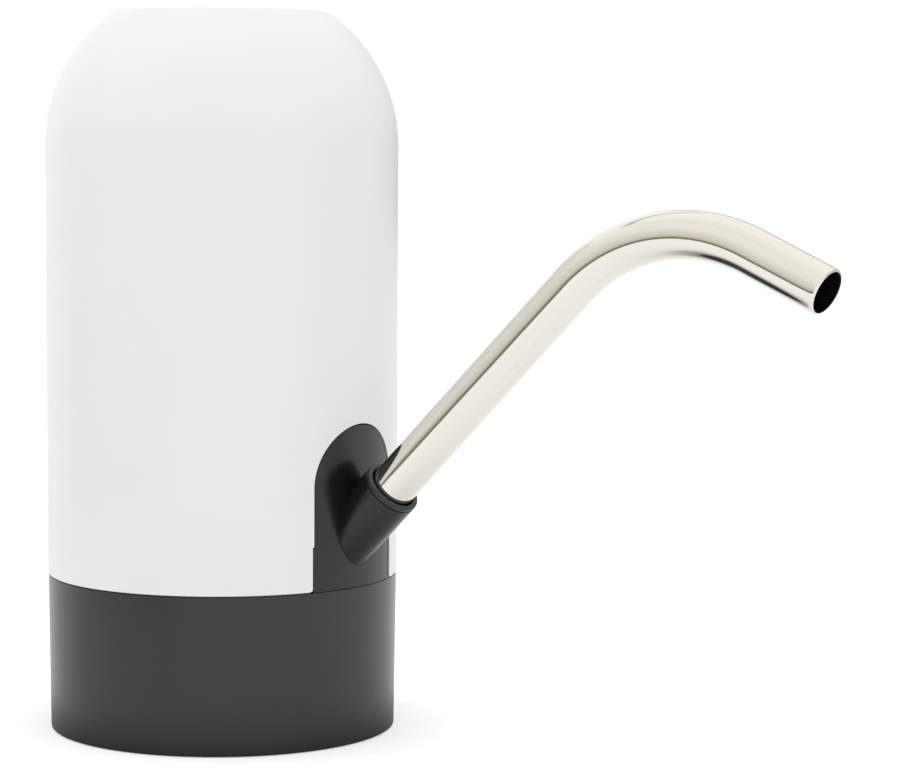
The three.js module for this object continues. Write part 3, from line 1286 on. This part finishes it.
function outletHose() {
  const { from, fromTip, to, toTip, outward, inward } = hoseEnds();
  const reach = fromTip.distanceTo(toTip) / 2;
  const bend = new THREE.CubicBezierCurve3(
    fromTip,
    fromTip.clone().addScaledVector(outward, reach),
    toTip.clone().addScaledVector(inward, -reach),
    toTip,
  );
  const stations = [{ point: from, tangent: outward }];
  for (let i = 0; i <= HOSE_STEPS; i += 1) {
    stations.push({ point: bend.getPoint(i / HOSE_STEPS), tangent: bend.getTangent(i / HOSE_STEPS) });
  }
  stations.push({ point: to, tangent: inward });
  return pipe(new StationPath(stations), stations.length - 1, HOSE_RADIUS, HOSE_BORE, HOSE_SIDES);
}

function hoseClip(end, direction) {
  const foot = end.clone().addScaledVector(direction, CLIP_RING_INSET);
  const top = foot.clone().addScaledVector(direction, CLIP_RING_WIDTH);
  const through = top.clone().addScaledVector(direction, OVERRUN);
  const under = foot.clone().addScaledVector(direction, -OVERRUN);
  const inner = HOSE_RADIUS + GAP;
  return cut(bar(foot, top, inner + CLIP_RING_WALL), bar(under, through, inner));
}

// A lead leaves each end square to what it meets, in an easy curve.
function lead(start, outward, end, away, radius, slack) {
  const path = new THREE.CubicBezierCurve3(
    start,
    start.clone().addScaledVector(outward, slack),
    end.clone().addScaledVector(away, slack),
    end,
  );
  return pipe(path, LEAD_STEPS, radius, 0, LEAD_SIDES);
}

function boardEdgePoint(pitches, height) {
  const x = CONTROL_FRONT_X - LEAD_PITCH * (pitches + 1 / 2);
  return new THREE.Vector3(x, (CONTROL_FACE_Y + CONTROL_REAR_Y) / 2, height);
}

const UP = new THREE.Vector3(0, 0, 1);
const DOWN = new THREE.Vector3(0, 0, -1);
const BACK = new THREE.Vector3(-1, 0, 0);

function cellLead(tabFoot, end, away) {
  const start = new THREE.Vector3(CELL_X - TAB_REACH - GAP, CELL_Y, tabFoot + TAB_WALL / 2);
  return lead(start, BACK, end, away, LEAD_RADIUS, start.x - end.x);
}

function motorLead(side, pitches) {
  const start = pumpPoint(side * MOTOR_LEAD_OFFSET, DRIVE_Y).setZ(MOTOR_CAP_TOP + GAP);
  return lead(start, UP, boardEdgePoint(pitches, CONTROL_TOP + GAP), UP, LEAD_RADIUS, LEAD_SLACK);
}

function switchCable() {
  const start = new THREE.Vector3(-CABLE_HOLE_OFFSET, 0, SWITCH_BOARD_TOP - BOARD_WALL - GAP);
  return lead(start, DOWN, boardEdgePoint(2, CONTROL_TOP + GAP), UP, CABLE_RADIUS, CABLE_SLACK);
}

const pump = new THREE.Group();

function place(name, piece, material, parent = pump) {
  const mesh = asSolid(piece).getMesh();
  const geometry = new THREE.BufferGeometry();
  geometry.setAttribute('position', new THREE.BufferAttribute(mesh.vertProperties, mesh.numProp));
  geometry.setIndex(new THREE.BufferAttribute(mesh.triVerts, 1));
  const flat = geometry.toNonIndexed();
  flat.computeVertexNormals();
  const node = new THREE.Mesh(flat, material);
  node.name = name;
  parent.add(node);
  return node;
}

function placeScrew(name, wall, point, direction, parent = pump) {
  const node = place(name, screw(wall), MATERIALS.steel, parent);
  node.quaternion.setFromUnitVectors(UP, direction);
  node.position.copy(point);
}

// Outside, from the table up.
place('base_collar', baseCollar(), MATERIALS.blackShell);
place('neck_socket', neckSocket(), MATERIALS.blackShell);
place('dome_shell', domeShell(), MATERIALS.whiteShell);
place('spout_plate', spoutPlate(), MATERIALS.blackShell);
place('seal_ring', sealRing(), MATERIALS.rubber);
place('spout_tube', spoutTube(), MATERIALS.steel);
plateFeet().forEach((foot, i) => {
  placeScrew(`plate_screw_${i + 1}`, PLATE_FOOT_WALL, foot.setZ(SEAT + PLATE_FOOT_WALL + GAP), UP);
});

// Button, light ring and switch in the flat top.
place('light_ring', lightRing(), MATERIALS.diffuser);
place('button_cap', buttonCap(), MATERIALS.whiteShell);
place('switch_plunger', switchPlunger(), MATERIALS.chip);
place('tact_switch', tactSwitch(), MATERIALS.nickel);
place('switch_board', switchBoard(), MATERIALS.circuitBoard);
place('button_carrier', buttonCarrier(), MATERIALS.innerFrame);
around(LAMP_COUNT, LAMP_CIRCLE, Math.PI / LAMP_COUNT).forEach((point, i) => {
  const node = place(`lamp_${i + 1}`, lamp(), MATERIALS.lamp);
  node.position.copy(point.setZ(SWITCH_BOARD_TOP + GAP));
  node.rotation.z = Math.PI / LAMP_COUNT + 2 * Math.PI * i / LAMP_COUNT;
});
topBossPlaces().forEach((point, i) => {
  placeScrew(`carrier_screw_${i + 1}`, CARRIER_EAR_WALL, point.setZ(EAR_FOOT - GAP), DOWN);
});

// Chassis with the cell and the control board.
place('chassis', chassis(), MATERIALS.innerFrame);
chassisFeet().forEach((point, i) => {
  placeScrew(`chassis_screw_${i + 1}`, CHASSIS_FOOT_WALL, point.setZ(SEAT + CHASSIS_FOOT_WALL + GAP), UP);
});
const battery = new THREE.Group();
battery.position.set(CELL_X, CELL_Y, 0);
pump.add(battery);
place('battery_cell', cell(), MATERIALS.cell, battery);
place('battery_tab_negative', contactTab(SHELF_TOP + GAP), MATERIALS.nickel, battery);
place('battery_tab_positive', contactTab(TOP_TAB_FOOT), MATERIALS.nickel, battery);
place('control_board', controlBoard(), MATERIALS.circuitBoard);
place('charge_chip', chargeChip(), MATERIALS.chip);
place('usb_socket', usbSocket(), MATERIALS.nickel);
CONTROL_SCREW_HEIGHTS.forEach((height, i) => {
  const point = new THREE.Vector3(CONTROL_SCREW_X, CONTROL_FACE_Y - GAP, height);
  placeScrew(`board_screw_${i + 1}`, BOARD_WALL, point, new THREE.Vector3(0, -1, 0));
});

// Pump head and motor share a frame that is turned so that the outlet faces the spout.
const pumpHead = new THREE.Group();
pumpHead.position.set(PUMP_X, PUMP_Y, 0);
pumpHead.rotation.z = PUMP_TURN;
pump.add(pumpHead);
place('pump_pad', pumpPad(), MATERIALS.rubber, pumpHead);
place('pump_cover', pumpCover(), MATERIALS.innerFrame, pumpHead);
place('pump_body', pumpBody(), MATERIALS.innerFrame, pumpHead);
place('drive_gear', gear(), MATERIALS.gear, pumpHead).position.y = DRIVE_Y;
const idlerGear = place('idler_gear', gear(), MATERIALS.gear, pumpHead);
idlerGear.position.y = IDLER_Y;
idlerGear.rotation.z = Math.PI / GEAR_TEETH;
place('idler_pin', idlerPin(), MATERIALS.steel, pumpHead).position.y = IDLER_Y;
place('shaft_seal', shaftSeal(), MATERIALS.rubber, pumpHead).position.y = DRIVE_Y;
pumpScrewPlaces().forEach(([x, y], i) => {
  const wall = COVER_WALL - SCREW_HEAD_HEIGHT - 2 * GAP;
  const point = new THREE.Vector3(x, y, SEAT + SCREW_HEAD_HEIGHT + GAP);
  placeScrew(`pump_screw_${i + 1}`, wall, point, DOWN, pumpHead);
});
PUMP_EAR_ANGLES.map(pumpEarPlace).forEach((point, i) => {
  placeScrew(`mount_screw_${i + 1}`, COVER_WALL, point.setZ(COVER_TOP + GAP), UP, pumpHead);
});

const motor = new THREE.Group();
motor.position.y = DRIVE_Y;
pumpHead.add(motor);
place('motor_can', motorCan(), MATERIALS.nickel, motor);
place('motor_end_cap', motorEndCap(), MATERIALS.innerFrame, motor);
place('motor_magnet_1', motorMagnet(), MATERIALS.magnet, motor);
place('motor_magnet_2', motorMagnet(), MATERIALS.magnet, motor).rotation.z = Math.PI;
place('motor_rotor', motorRotor(), MATERIALS.nickel, motor);
place('motor_shaft', motorShaft(), MATERIALS.steel, motor);

// Hose from the pump to the spout, and the leads.
place('outlet_hose', outletHose(), MATERIALS.silicone);
const hose = hoseEnds();
place('hose_clip_1', hoseClip(hose.from, hose.outward), MATERIALS.steel);
place('hose_clip_2', hoseClip(hose.to, hose.inward.clone().negate()), MATERIALS.steel);
const boardTop = boardEdgePoint(3, CONTROL_TOP + GAP);
const boardFoot = boardEdgePoint(3, CONTROL_FOOT - GAP);
place('battery_lead_red', cellLead(TOP_TAB_FOOT, boardTop, UP), MATERIALS.redLead);
place('battery_lead_black', cellLead(SHELF_TOP + GAP, boardFoot, DOWN), MATERIALS.blackLead);
place('motor_lead_red', motorLead(-1, 1), MATERIALS.redLead);
place('motor_lead_black', motorLead(1, 0), MATERIALS.blackLead);
place('switch_cable', switchCable(), MATERIALS.blackLead);

pump.position.z = -NECK_DEPTH;

export default pump;
